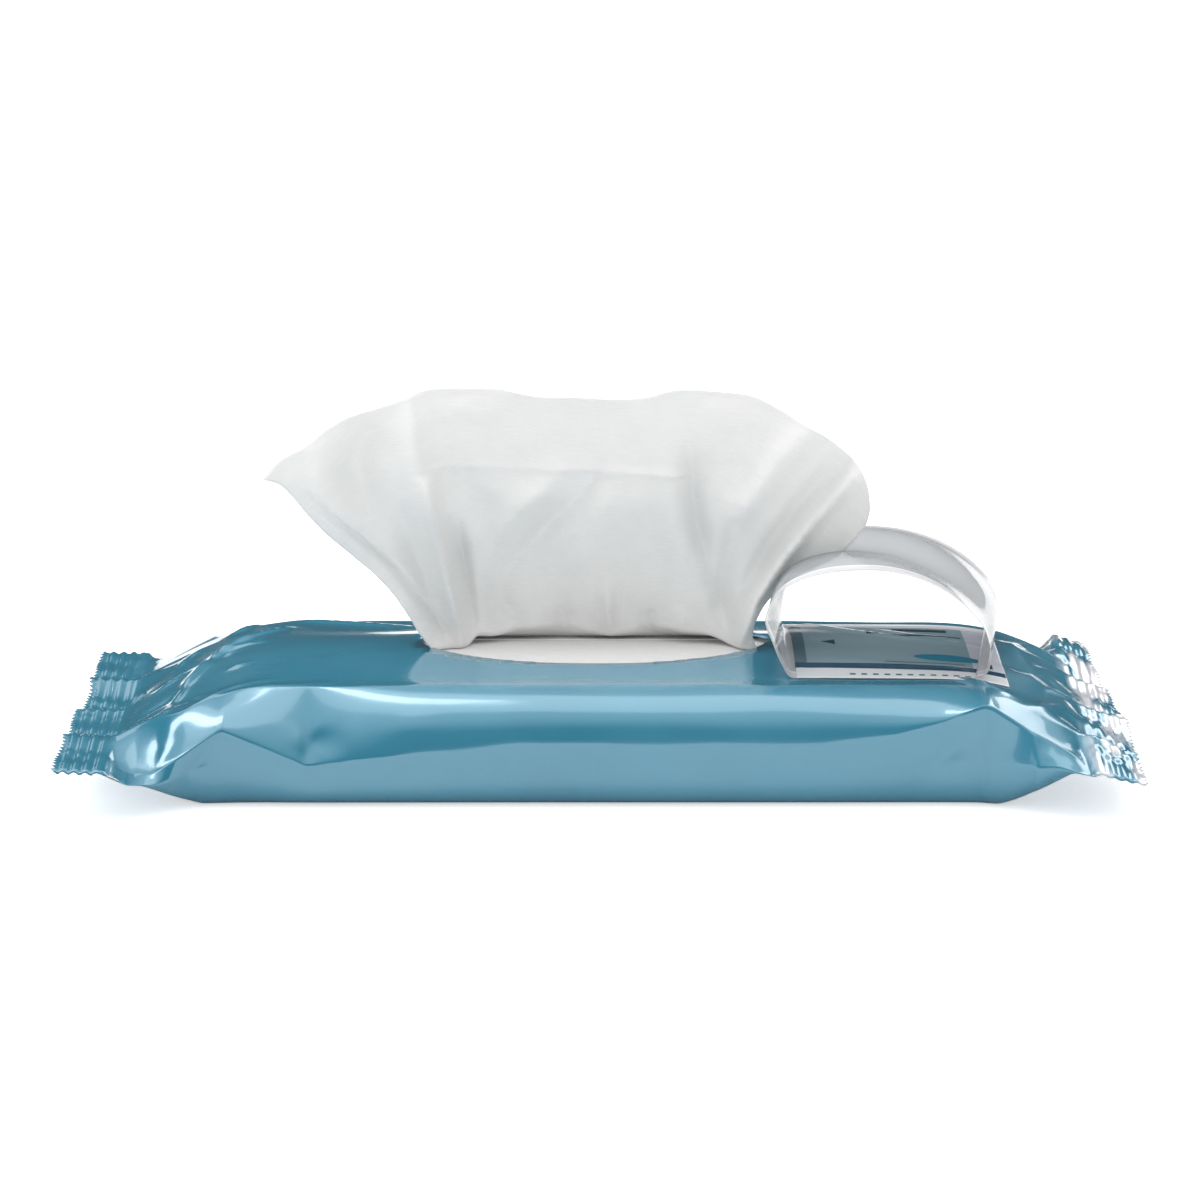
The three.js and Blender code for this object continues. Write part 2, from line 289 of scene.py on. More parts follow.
# --- Materials ---
class Nodes:
    """A short way to write a node tree: each call adds a node and gives back its output."""

    def __init__(self, tree: bpy.types.NodeTree) -> None:
        """Keep the tree that nodes are added to."""
        self.tree = tree

    def add(self, kind: str, inputs: dict | None = None, out: int | str = 0, **settings: object):
        """Add one node.

        Args:
            kind: the node's type, without the ShaderNode prefix.
            inputs: values or sockets for its inputs, by name or number.
            out: which output to give back.
            **settings: the node's own properties.

        Returns:
            The output socket.
        """
        node = self.tree.nodes.new(f"ShaderNode{kind}")
        for key, value in settings.items():
            setattr(node, key, value)
        self.feed(node, inputs or {})
        return node.outputs[out]

    def feed(self, node: bpy.types.Node, inputs: dict) -> None:
        """Give a node's inputs their values, or link them to sockets."""
        for key, value in inputs.items():
            if isinstance(value, bpy.types.NodeSocket):
                self.tree.links.new(value, node.inputs[key])
            else:
                node.inputs[key].default_value = value

    def axes(self, vector: bpy.types.NodeSocket) -> Sequence[bpy.types.NodeSocket]:
        """Split a vector into its X, Y and Z."""
        node = self.tree.nodes.new("ShaderNodeSeparateXYZ")
        self.feed(node, {0: vector})
        return node.outputs

    def math(self, operation: str, a: object, b: object = 0.0, clamp: bool = False):
        """Add a Math node on two values or sockets."""
        return self.add("Math", {0: a, 1: b}, operation=operation, use_clamp=clamp)

    def blend(self, factor: object, a: object, b: object):
        """Add a colour mix from a to b."""
        return self.add("Mix", {0: factor, 6: a, 7: b}, out=2, data_type="RGBA")

    def ramp(self, value: object, low: float, high: float, to_low: float = 0.0, to_high: float = 1.0):
        """Map a value from one range to another, held inside it."""
        return self.add("MapRange", {0: value, 1: low, 2: high, 3: to_low, 4: to_high})

    def group(self, tree: bpy.types.NodeTree, inputs: dict, out: int | str = 0):
        """Place a shared effect and give back one of its outputs."""
        return self.add("Group", inputs, out, node_tree=tree)


def handling_marks() -> bpy.types.NodeTree:
    """Build the effect of fine scuffs and uneven gloss that both films share.

    Returns:
        The group: it puts out Smudge, from 0 to 1, and Relief, a small height.
    """
    tree = bpy.data.node_groups.new("handling_marks", "ShaderNodeTree")
    for name, way, kind in (("Vector", "INPUT", "Vector"), ("Scale", "INPUT", "Float"),
                            ("Smudge", "OUTPUT", "Float"), ("Relief", "OUTPUT", "Float")):
        tree.interface.new_socket(name, in_out=way, socket_type=f"NodeSocket{kind}")
    source = tree.nodes.new("NodeGroupInput").outputs
    n = Nodes(tree)
    broad = n.add("TexNoise", {"Vector": source["Vector"], "Scale": source["Scale"], "Detail": 5.0})
    finer = n.math("MULTIPLY", source["Scale"], 7.0)
    fine = n.add("TexNoise", {"Vector": source["Vector"], "Scale": finer, "Detail": 3.0})
    n.feed(tree.nodes.new("NodeGroupOutput"),
           {"Smudge": n.ramp(broad, 0.35, 0.7), "Relief": n.math("MULTIPLY_ADD", fine, 0.3)})
    return tree


@dataclass(frozen=True)
class Shader:
    """The plain values of a surface's main shader."""

    name: str
    color: tuple[float, float, float]
    roughness: float
    metallic: float = 0.0
    coat: float = 0.0
    coat_roughness: float = 0.05
    specular: float = 0.5
    subsurface: float = 0.0
    ior: float = 1.5

    def start(self) -> tuple[bpy.types.Material, Nodes, bpy.types.ShaderNode]:
        """Make the material with its main shader set to these values.

        Returns:
            The material, a node writer and the shader node.
        """
        material = bpy.data.materials.new(self.name)
        material.use_nodes = True
        n = Nodes(material.node_tree)
        shader = material.node_tree.nodes["Principled BSDF"]
        n.feed(shader, {
            "Base Color": (*self.color, 1.0), "Roughness": self.roughness, "Metallic": self.metallic,
            "Coat Weight": self.coat, "Coat Roughness": self.coat_roughness, "IOR": self.ior,
            "Specular IOR Level": self.specular, "Subsurface Weight": self.subsurface,
        })
        return material, n, shader


class Finish(Enum):
    """The plain finishes of the pack's pieces."""

    FILM = Shader("teal_film", (0.042, 0.245, 0.385), 0.20, metallic=0.12, coat=0.7, coat_roughness=0.035,
                  specular=0.7, ior=1.72)
    LINING = Shader("silver_lining", (0.62, 0.66, 0.68), 0.32, metallic=0.85)
    LABEL = Shader("clear_label", (0.38, 0.40, 0.42), 0.18, specular=0.15)
    CLOTH = Shader("moist_nonwoven", (0.78, 0.78, 0.77), 0.72, specular=0.2, subsurface=0.3)
    # The stack's copy of the nonwoven, painted lighter: painted light that lifts it out of the raised wipe's
    # shade.
    STACK_CLOTH_PAINTED_LIGHT = Shader("stack_nonwoven_painted_light", (0.90, 0.90, 0.88), 0.72, specular=0.2, subsurface=0.3)
    FLOOR = Shader("studio_floor", (0.93, 0.93, 0.935), 0.75, specular=0.1)


class MaterialShop:
    """Makes each finish once, with its own pattern."""

    def __init__(self, print_length: float, tip_start: float) -> None:
        """Build the shared effect and the materials.

        Args:
            print_length: how much of the label's run is printed, in millimetres.
            tip_start: where the label's free end turns down, along its run.
        """
        self.marks = handling_marks()
        self.print_length = print_length
        self.tip_start = tip_start
        self.film = self._film()
        self.lining = self._lining()
        self.label = self._label()
        # Two copies of one cloth: the stack's copy is painted lighter and given a painted glow, for the
        # light it gets.
        self.cloth = self._cloth(Finish.CLOTH, 0.94, 0.0)
        self.stack_cloth_painted_light = self._cloth(Finish.STACK_CLOTH_PAINTED_LIGHT, 1.16, 0.17)
        self.floor = self._floor()

    def _film(self) -> bpy.types.Material:
        """Metallised teal film: uneven gloss, tiny creases, slight shifts of tone and painted reflections on
        the right seal.
        """
        material, n, shader = Finish.FILM.value.start()
        where = n.add("TexCoord", out="Object")
        smudge = n.group(self.marks, {"Vector": where, "Scale": 28.0}, "Smudge")
        relief = n.group(self.marks, {"Vector": where, "Scale": 240.0}, "Relief")
        tone = n.blend(smudge, (0.034, 0.225, 0.335, 1), (0.044, 0.255, 0.375, 1))
        # Pale streaks on the right seal only: painted reflections of the lamps on its crinkles, laid into
        # the film's colour.
        turned = n.add("Mapping", {"Vector": where, "Rotation": (0, 0, 0.35), "Scale": (150.0, 42.0, 60.0)})
        streaks = n.ramp(n.add("TexNoise", {"Vector": turned, "Scale": 1.0, "Detail": 3.0}), 0.44, 0.53)
        painted_seal_glints = n.math("MULTIPLY", streaks, n.ramp(n.axes(where)[0], 0.1175, 0.1225))
        n.feed(shader, {
            "Base Color": n.blend(painted_seal_glints, tone, (0.80, 0.82, 0.87, 1)),
            "Roughness": n.ramp(smudge, 0, 1, 0.15, 0.24),
            "Normal": n.add("Bump", {"Strength": 0.10, "Distance": 0.0004, "Height": relief}),
        })
        return material

    def _lining(self) -> bpy.types.Material:
        """Bare metallised inner face of the film."""
        material, n, shader = Finish.LINING.value.start()
        where = n.add("TexCoord", out="Object")
        smudge = n.group(self.marks, {"Vector": where, "Scale": 40.0}, "Smudge")
        tone = n.blend(smudge, (0.60, 0.64, 0.66, 1), (0.68, 0.71, 0.73, 1))
        n.feed(shader, {"Base Color": tone, "Roughness": n.ramp(smudge, 0, 1, 0.26, 0.38)})
        return material

    def _label(self) -> bpy.types.Material:
        """Clear film with printed fields where its UV places them, in millimetres, and a painted sheen where
        it turns.
        """
        material, n, shader = Finish.LABEL.value.start()
        where = n.add("TexCoord", out="UV")
        run, depth = n.axes(where)[:2]

        def field(x0: float, x1: float, y0: float, y1: float, edge: float = 0.15):
            """Mask a rectangle of the print."""
            left = n.ramp(run, x0 - edge, x0 + edge)
            right = n.ramp(run, x1 - edge, x1 + edge, 1, 0)
            near = n.ramp(depth, y0 - edge, y0 + edge)
            far = n.ramp(depth, y1 - edge, y1 + edge, 1, 0)
            return n.math("MULTIPLY", n.math("MULTIPLY", left, right), n.math("MULTIPLY", near, far))

        whole = self.print_length
        panel = field(0.0, whole, -24.0, 25.0)
        end_field = field(0.0, 8.0, -24.0, 25.0)
        edge_field = field(whole - 3.0, whole, -20.5, 25.0)
        band = field(0.0, whole, -28.0, -20.5)
        stripe = field(0.0, whole, -20.5, -16.8)
        ellipse_x = n.math("DIVIDE", n.math("SUBTRACT", run, 13.5), 9.0)
        ellipse_y = n.math("DIVIDE", n.math("SUBTRACT", depth, -9.0), 3.2)
        radius = n.math("ADD", n.math("POWER", ellipse_x, 2.0), n.math("POWER", ellipse_y, 2.0))
        ellipse = n.ramp(radius, 0.92, 1.06, 1, 0)
        arrow_reach = n.math("SUBTRACT", 43.0, run)
        arrow_width = n.math("ABSOLUTE", n.math("SUBTRACT", depth, 1.0))
        slope = n.math("SUBTRACT", n.math("MULTIPLY", n.math("ADD", arrow_reach, 2.4), 0.75), arrow_width)
        arrow = n.math("MULTIPLY", n.ramp(slope, 0.0, 0.15), n.ramp(arrow_reach, 1.2, 1.35, 1, 0))
        bars = n.math("MAXIMUM", field(3.0, 5.2, -15.0, -10.5), field(9.0, 33.0, 13.5, 15.0))
        bars = n.math("MAXIMUM", bars, field(12.0, 26.0, 20.0, 23.5))
        bands = n.add("TexWave", {"Vector": where, "Scale": 0.16, "Distortion": 0.0}, out=1,
                      wave_type="BANDS", bands_direction="Y")
        rules = n.math("MULTIPLY", field(10.0, 30.0, -15.8, -13.2), n.ramp(bands, 0.55, 0.7))
        ticks = n.add("TexWave", {"Vector": where, "Scale": 0.11, "Distortion": 0.0}, out=1,
                      wave_type="BANDS", bands_direction="X")
        dashes = n.math("MULTIPLY", field(8.0, 40.0, -25.4, -24.2), n.ramp(ticks, 0.45, 0.55))
        border = n.ramp(n.math("ABSOLUTE", n.math("SUBTRACT", depth, 1.0)), 24.2, 24.5)
        line = field(whole, 400.0, -24.0, -23.2)

        # Painted sheen: the label is painted lighter where it folds up from the print and where its free tip
        # turns down, for the light it reflects there.
        turns = n.math("MAXIMUM", field(whole + 0.5, whole + 7.0, -40.0, 40.0, 1.5),
                       field(self.tip_start, 400.0, -40.0, 40.0, 2.0))
        tone = n.blend(border, (0.38, 0.40, 0.42, 1), (0.72, 0.72, 0.74, 1))
        tone = n.blend(turns, tone, (0.66, 0.67, 0.70, 1))
        tone = n.blend(line, tone, (0.92, 0.92, 0.93, 1))
        for mask, paint in ((panel, (0.25, 0.36, 0.41, 1)), (end_field, (0.58, 0.60, 0.67, 1)),
                            (edge_field, (0.10, 0.17, 0.21, 1)), (band, (0.74, 0.77, 0.79, 1)),
                            (stripe, (0.022, 0.075, 0.13, 1)), (ellipse, (0.03, 0.22, 0.33, 1)),
                            (arrow, (0.03, 0.08, 0.11, 1)), (bars, (0.03, 0.06, 0.08, 1)),
                            (rules, (0.09, 0.15, 0.19, 1)), (dashes, (0.07, 0.14, 0.22, 1))):
            tone = n.blend(mask, tone, paint)
        printed = n.math("MAXIMUM", panel, n.math("MAXIMUM", band, stripe))
        facing = n.add("LayerWeight", {"Blend": 0.4}, out="Facing")
        clear = n.math("ADD", n.ramp(facing, 0.0, 1.0, 0.36, 0.80), n.math("MULTIPLY", border, 0.12),
                       clamp=True)
        smudge = n.group(self.marks, {"Vector": where, "Scale": 0.05}, "Smudge")
        n.feed(shader, {
            "Base Color": tone, "Roughness": n.ramp(smudge, 0, 1, 0.06, 0.14),
            "Alpha": n.math("MAXIMUM", clear, n.math("MULTIPLY", printed, 0.95)),
        })
        return material

    def _cloth(self, finish: Finish, painted_light_scale: float, painted_glow: float) -> bpy.types.Material:
        """Moist nonwoven: fibres laid along the cloth, small pores and faint cloudiness.

        Args:
            finish: the constants to start from.
            painted_light_scale: how much lighter or darker this copy is painted than the cloth's usual tone,
                as painted light or shade.
            painted_glow: painted light, an emission that lifts the cloth out of its shade.

        Returns:
            The material.
        """
        material, n, shader = finish.value.start()
        where = n.add("TexCoord", out="UV")
        stretched = n.add("Mapping", {"Vector": where, "Scale": (0.16, 2.4, 1.0)})
        fibres = n.add("TexNoise", {"Vector": stretched, "Scale": 1.0, "Detail": 6.0, "Roughness": 0.62})
        crossed = n.add("Mapping", {"Vector": where, "Scale": (1.1, 0.35, 1.0)})
        second = n.add("TexNoise", {"Vector": crossed, "Scale": 1.0, "Detail": 5.0})
        pores = n.add("TexVoronoi", {"Vector": where, "Scale": 0.9}, out="Distance")
        clouds = n.add("TexNoise", {"Vector": where, "Scale": 0.06, "Detail": 4.0})
        # The tones are scaled to paint this copy lighter or darker: painted light or shade.
        low, high, fibre = (
            (painted_light_scale * r, painted_light_scale * g, painted_light_scale * b, 1)
            for r, g, b in ((0.735, 0.74, 0.735), (0.80, 0.80, 0.785), (0.84, 0.84, 0.83)))
        tone = n.blend(n.ramp(fibres, 0.48, 0.72, 0.0, 0.8), n.blend(clouds, low, high), fibre)
        height = n.math("ADD", n.math("MULTIPLY", fibres, 1.0), n.math("MULTIPLY", second, 0.35))
        height = n.math("ADD", height, n.math("MULTIPLY", pores, 0.25))
        n.feed(shader, {
            "Base Color": tone, "Roughness": n.ramp(second, 0.3, 0.7, 0.62, 0.82),
            "Normal": n.add("Bump", {"Strength": 0.5, "Distance": 0.0003, "Height": height}),
            "Subsurface Radius": (1.0, 1.0, 1.0), "Subsurface Scale": 0.0015,
            # Painted glow: emission that lifts the cloth out of its shade.
            "Emission Color": (1.0, 1.0, 0.98, 1.0), "Emission Strength": painted_glow,
        })
        return material

    def _floor(self) -> bpy.types.Material:
        """Pale studio floor with a barely visible unevenness."""
        material, n, shader = Finish.FLOOR.value.start()
        where = n.add("TexCoord", out="Object")
        clouds = n.add("TexNoise", {"Vector": where, "Scale": 3.0})
        tone = n.blend(clouds, (0.925, 0.925, 0.93, 1), (0.94, 0.94, 0.945, 1))
        far = n.ramp(n.add("VectorMath", {0: where}, out="Value", operation="LENGTH"), 0.15, 0.6)
        near = n.math("MULTIPLY", n.add("LightPath", out="Is Camera Ray"), 0.95)
        n.feed(shader, {
            "Base Color": tone, "Emission Strength": 0.56,
            "Emission Color": n.blend(n.math("MAXIMUM", far, near), (0, 0, 0, 1), (1, 1, 1, 1)),
        })
        return material


# --- The film pack ---
@dataclass
class FilmPack:
    """The metallised film: a tube round the wipes, pressed flat and crimped at both ends.

    Half of a cross-section runs from the middle of the top over the shoulder, down the wall, round the
    bottom edge and back along the underside, with a fixed number of steps on each stretch.
    """

    half_length: float = 133.0
    half_depth: float = 47.0
    flat_top: float = 34.6
    shoulder: float = 27.6
    crown: float = 2.9
    bottom_height: float = 11.5
    bottom_inset: float = 6.5
    brow_reach: float = 9.0
    film: float = 0.15
    seal_width: float = 12.5
    seal_half_span: float = 59.0
    seal_height: float = 12.0
    seal_gap: float = 0.45
    taper_start: float = 80.0
    lift_start: float = 97.0
    rib_pitch: float = 2.7
    rib_height: float = 0.36
    tooth_pitch: float = 1.9667
    tooth_depth: float = 1.0
    left_bends: tuple[Point, ...] = (
        (-30, 1.0), (-17, 2.0), (-14, -0.4), (-2, 1.6), (3, -1.4), (14, 1.0), (18, -0.6), (30, 1.6),
    )
    right_bends: tuple[Point, ...] = (
        (-30, -3.4), (-20, -0.6), (-17, -2.6), (-6, 0.6), (-3, -1.6), (8, 1.6), (12, -0.4), (30, 3.2),
    )
    right_slope: float = 4.5
    right_curl: float = 3.6
    pressed_from: float = 0.9
    opening: tuple[float, float, float, float] = (-1.5, 2.0, 43.5, 19.0)
    top_steps: int = 30
    shoulder_steps: int = 20
    wall_steps: int = 10
    bottom_steps: int = 8
    under_steps: int = 22
    front_crease: CreaseLine = CreaseLine((
        (-124, 9.0, 1.2), (-108, 10.3, 1.05), (-92, 20.0, 1.35), (-71.5, 11.0, 1.05), (-60, 12.3, 1.3),
        (-46, 13.4, 1.7), (-20, 14.8, 2.0), (30, 15.2, 2.0), (54, 15.8, 1.9), (72, 18.4, 1.7),
        (84, 22.0, 1.5), (94, 26.6, 1.3), (105, 20.0, 1.1), (124, 9.6, 1.2),
    ))
    back_crease: CreaseLine = CreaseLine((
        (-124, 9.4, 1.2), (-101, 21.0, 1.3), (-84, 17.0, 1.7), (-40, 15.0, 2.0), (48, 14.8, 2.0),
        (74, 11.5, 1.15), (90, 19.5, 1.3), (108, 10.8, 1.1), (124, 9.2, 1.2),
    ))
    front_folds: tuple[Fold, ...] = (
        Fold(((-65.2, 27), (-67.5, 20), (-70.3, 14.5)), -2.8, 3.6, 1.6),
        Fold(((-61.5, 25), (-60.5, 18)), 0.8, 3.0),
        Fold(((-78, 26), (-75, 21), (-73, 15)), 1.7, 2.0, 1.7),
        Fold(((-108, 10.4), (-106.5, 14), (-103, 22)), 1.1, 2.2, 1.6),
        Fold(((-93, 15), (-98, 9), (-100, 2)), -0.45, 4.5),
        Fold(((105, 20.5), (106, 12), (106.8, 4)), 1.7, 1.9, 1.7),
        Fold(((94.2, 26), (93.6, 14), (93, 2)), -0.7, 1.1, 1.7),
        Fold(((94, 23), (84, 14), (78, 5)), -0.7, 3.5, 1.3),
        Fold(((110, 16), (117, 9)), -1.1, 3.0, 1.2),
        Fold(((82.5, 11.8), (79.5, 11.2), (76.5, 10.2)), -0.3, 1.0, 1.4),
        Fold(((108, 15), (116, 12), (122, 10)), 0.6, 1.3, 1.6),
        Fold(((-46, 25), (-44, 19)), 0.5, 4.0),
    )
    back_folds: tuple[Fold, ...] = (
        Fold(((70, 25), (72, 18), (74, 12)), -2.2, 2.4, 2.0),
        Fold(((90, 18), (94, 10), (96, 3)), -0.9, 3.0, 1.3),
        Fold(((-101, 20), (-99, 12), (-98, 4)), -0.6, 1.8, 1.6),
        Fold(((-84, 12), (-78, 10.5)), -0.8, 1.2, 1.4),
        Fold(((10, 22), (16, 16), (19, 9)), -0.6, 3.5),
    )
    stations: Array = field(init=False)

    def __post_init__(self) -> None:
        """Space the cross-sections: close together at the seals and tapers, wider over the body."""
        body_end, start = 48.0, self.seal_start
        seal_steps = np.linspace(start, self.half_length, 20)[1:]
        taper_steps = np.linspace(body_end, start, 92)[1:]
        body_steps = np.linspace(0.0, body_end, 18)
        right = np.concatenate([body_steps, taper_steps, seal_steps])
        self.stations = np.concatenate([-right[:0:-1], right])

    @property
    def seal_start(self) -> float:
        """Distance from the middle to the inner edge of an end seal."""
        return self.half_length - self.seal_width

    @property
    def half_steps(self) -> int:
        """Steps round half of a cross-section."""
        return (self.top_steps + self.shoulder_steps + self.wall_steps + self.bottom_steps
                + self.under_steps)

    def top_taper(self, x: Array) -> Array:
        """Tell how far the top has come from the body, 0, to the flat seal, 1."""
        part = np.clip((np.abs(x) - self.taper_start) / (self.seal_start - self.taper_start), 0, 1)
        return np.where(x < 0, part**1.75, part**2.8)

    def bottom_taper(self, x: Array) -> Array:
        """Tell how far the underside has come from the floor, 0, to the flat seal, 1."""
        part = np.clip((np.abs(x) - self.lift_start) / (self.seal_start - self.lift_start), 0, 1)
        return part**1.35

    def flattening(self, x: Array) -> Array:
        """Tell how far the tube has come from its full section, 0, to the flat seal, 1."""
        return (self.bottom_taper(x) + self.top_taper(x)) / 2

    def rise(self, x: Array, y: Array) -> Array:
        """Give the top film's height above the shoulder, before the tapers."""
        across = 0.5 * (1 + np.cos(np.pi * np.clip(np.abs(y) / (self.flat_top + 2.0), 0, 1)))
        return self.crown * across * (1.0 - 0.35 * smooth(40.0, 90.0, np.abs(x))
                                      - 0.45 * smooth(60.0, 100.0, x))

    def seal_z(self, x: Array, y: Array) -> Array:
        """Give the height of the middle of the seal, which is bent at whole teeth along its span."""
        outward = np.clip((np.abs(x) - self.seal_start) / self.seal_width, 0, 1)
        tooth = y / self.tooth_pitch
        left = np.interp(tooth, *zip(*self.left_bends))
        right = np.interp(tooth, *zip(*self.right_bends)) + self.right_slope * (1 - outward)
        return self.seal_height + np.where(x < 0, left, right)

    def crown_z(self, x: Array, y: Array) -> Array:
        """Give the height of the top film, as if it ran flat past the shoulders."""
        return mix(self.shoulder + self.rise(x, y), self.seal_z(x, y), self.top_taper(x))

    def crease(self, x: Array, side: Array) -> tuple[Array, Array]:
        """Give the shoulder's lower edge and roundness on the back, side 1, or the front, side -1."""
        (front, front_round), (back, back_round) = self.front_crease.at(x), self.back_crease.at(x)
        return np.where(side < 0, front, back), np.where(side < 0, front_round, back_round)

    def top(self, x: Array, y: Array) -> Array:
        """Give the height of the film's outer face above a place.

        Args:
            x: places along the pack.
            y: places across it.

        Returns:
            Heights above the floor.
        """
        over = np.clip((np.abs(y) - self.flat_top) / (self.half_depth - self.flat_top), 0.0, 1.0)
        edge, roundness = self.crease(x, y)
        high = self.crown_z(x, y)
        edge = np.minimum(edge, high - 0.5)
        return edge + (high - edge) * (1 - over**roundness) ** (1 / roundness)

    def wall_y(self, x: Array, down: Array) -> Array:
        """Give how far out a wall stands, from its crease, down 0, to the bottom edge, down 1.

        The wall is straight over the body and turns outwards at a vertical kink before each seal.
        """
        left_kink, right_kink = mix(92.0, 100.0, down), mix(94.2, 93.0, down)
        spread = self.seal_half_span - self.half_depth
        left = spread * np.clip((-x - left_kink) / (self.seal_start - left_kink), 0, 1) ** 1.1
        near = 0.25 * np.clip(x - right_kink, 0.0, 12.0)
        far = 0.55 * np.clip(x - right_kink - 12.0, 0.0, self.seal_start - right_kink - 12.0)
        return self.half_depth + left + near + far

    def place(self, i: Array, j: Array) -> Array:
        """Bend the flat grid into the film tube.

        Args:
            i: steps along the pack.
            j: steps round it.

        Returns:
            Places in millimetres.
        """
        x = self.stations[i]
        turn = j % (2 * self.half_steps)
        step = np.minimum(turn, 2 * self.half_steps - turn)
        side = np.where(turn <= self.half_steps, 1.0, -1.0)
        ends = np.cumsum([self.top_steps, self.shoulder_steps, self.wall_steps, self.bottom_steps])
        over_top, over, down, under, back = (
            np.clip((step - first) / count, 0, 1) for first, count in
            zip((0, *ends), (self.top_steps, self.shoulder_steps, self.wall_steps,
                             self.bottom_steps, self.under_steps)))
        flattening = self.flattening(x)
        edge, roundness = self.crease(x, side)
        half_turn, quarter = over * np.pi / 2, under * np.pi / 2
        out = np.sin(half_turn) ** (2 / roundness)
        drop = np.clip(np.cos(half_turn), 0, 1) ** (2 / roundness)

        inset = self.bottom_inset * (1 - flattening)
        brow = self.flat_top + self.brow_reach * (side < 0) * np.exp(-(((x + 104) / 7.5) ** 2))
        reach = brow * over_top + (self.wall_y(x, down) - brow) * out
        reach = (reach - inset * (1 - np.cos(quarter))) * (1 - back)
        upper_steps = self.top_steps + self.shoulder_steps + self.wall_steps
        lower_steps = self.bottom_steps + self.under_steps
        spread = np.where(step <= upper_steps, step / upper_steps, 1 - (step - upper_steps) / lower_steps)
        y = side * mix(reach, self.seal_half_span * spread, flattening)

        at_end = np.clip((np.abs(x) - self.seal_start) / self.seal_width, 0, 1)
        x = x - np.sign(x) * self.teeth(x, y, at_end)
        pressed = smooth(self.pressed_from, 1.0, flattening)
        gap = self.seal_gap * pressed
        high = self.crown_z(x, y) + gap / 2
        low = self.seal_z(x, y) * self.bottom_taper(x) - gap / 2
        edge = np.clip(edge, mix(low, high, 0.15), mix(low, high, 0.965))
        round_top = low + np.minimum(self.bottom_height * (1 - flattening), 0.6 * (edge - low))
        z = mix(edge, high, drop)
        z = mix(z, round_top, down)
        z = mix(low, z, 1 - np.sin(quarter))
        z = mix(z, high, pressed * (step < upper_steps))
        z = z + self.fin_relief(x, y) * (back > 0) * (1 - smooth(0.0, 0.6, self.bottom_taper(x)))

        wall = (smooth(0.55, 0.95, out) * (1 - smooth(0.2, 0.9, under))
                * (1 - 0.7 * smooth(0.8, 1.0, flattening)))
        y = y + side * wall * self.dents(x, z, side)
        z = z + self.wrinkles(x, y) * drop * (step < upper_steps) * (1 - at_end)
        z = z + self.ribs(x, at_end)
        z = z + self.crinkles(x, y, flattening, at_end)
        return np.stack([x, y, np.maximum(z, 0.0)], 1)

    def fin_relief(self, x: Array, y: Array) -> Array:
        """Recess the underside round the back seal, which lies folded to one side and ribbed."""
        channel = 1.0 * (1 - smooth(12.5, 14.5, np.abs(y)))
        fin = 0.7 * smooth(-1.0, 0.0, y) * (1 - smooth(10.0, 11.0, y))
        return channel - fin * (1 + 0.15 * np.sin(2 * np.pi * x / self.rib_pitch / 2))

    def dents(self, x: Array, z: Array, side: Array) -> Array:
        """Give the dents, creases and slack of the two long walls, outwards where positive."""
        front = sum(fold.lift(x, z) for fold in self.front_folds)
        back = sum(fold.lift(x, z) for fold in self.back_folds)
        slack = 0.22 * ruffle(x * 0.35, side, z * 1.4, 14.0, 2)
        return np.where(side < 0, front, back) + slack

    def ribs(self, x: Array, at_end: Array) -> Array:
        """Press the crimp's ribs into the seal, both films together."""
        phase = 2 * np.pi * (np.abs(x) - self.seal_start) / self.rib_pitch
        fade = smooth(0.0, 0.1, at_end) * (1 - 0.5 * smooth(0.92, 1.0, at_end))
        return self.rib_height * np.where(x < 0, 1.0, 0.55) * fade * np.sin(phase)

    def teeth(self, x: Array, y: Array, at_end: Array) -> Array:
        """Cut the seal's edge as a zigzag, and draw the right one in where it curls up."""
        saw = np.abs(((y / self.tooth_pitch) % 1.0) - 0.5) * 2
        wander = 0.8 * np.sin(y * 0.11) + 0.5 * np.sin(y * 0.31 + 1.0)
        curl = self.right_curl * smooth(-20.0, 59.0, y) * (x > 0)
        return self.tooth_depth * saw * smooth(0.7, 1.0, at_end) + (0.6 + 0.5 * wander + curl) * at_end

    def crinkles(self, x: Array, y: Array, flattening: Array, at_end: Array) -> Array:
        """Crumple the ends, most of all the seals.

        The values run straight between places one tooth apart, so that the upper and the lower film,
        which have different steps, move together.
        """
        pitch = self.tooth_pitch
        below = np.floor(y / pitch + 1e-6) * pitch
        part = np.clip((y - below) / pitch, 0, 1)
        return mix(self.crinkle(x, below, flattening, at_end),
                   self.crinkle(x, below + pitch, flattening, at_end), part)

    def crinkle(self, x: Array, y: Array, flattening: Array, at_end: Array) -> Array:
        """Give the crumpling of the ends at places."""
        right = x > 0
        amount = smooth(0.3, 1.0, flattening) * np.where(right, 0.85, 0.9)
        level = np.zeros_like(x)
        coarse = ruffle(x * 0.35, y, level, 13.0, 1)
        facets = crumple(x * 0.45 + 3.0, y * 0.8 + 0.3 * x, level, np.where(right, 10.0, 14.0))
        seal = np.where(right, 1.7, 1.0 + 0.4 * at_end)
        return amount * (1.1 * coarse + 1.3 * (facets - 0.3)) * seal

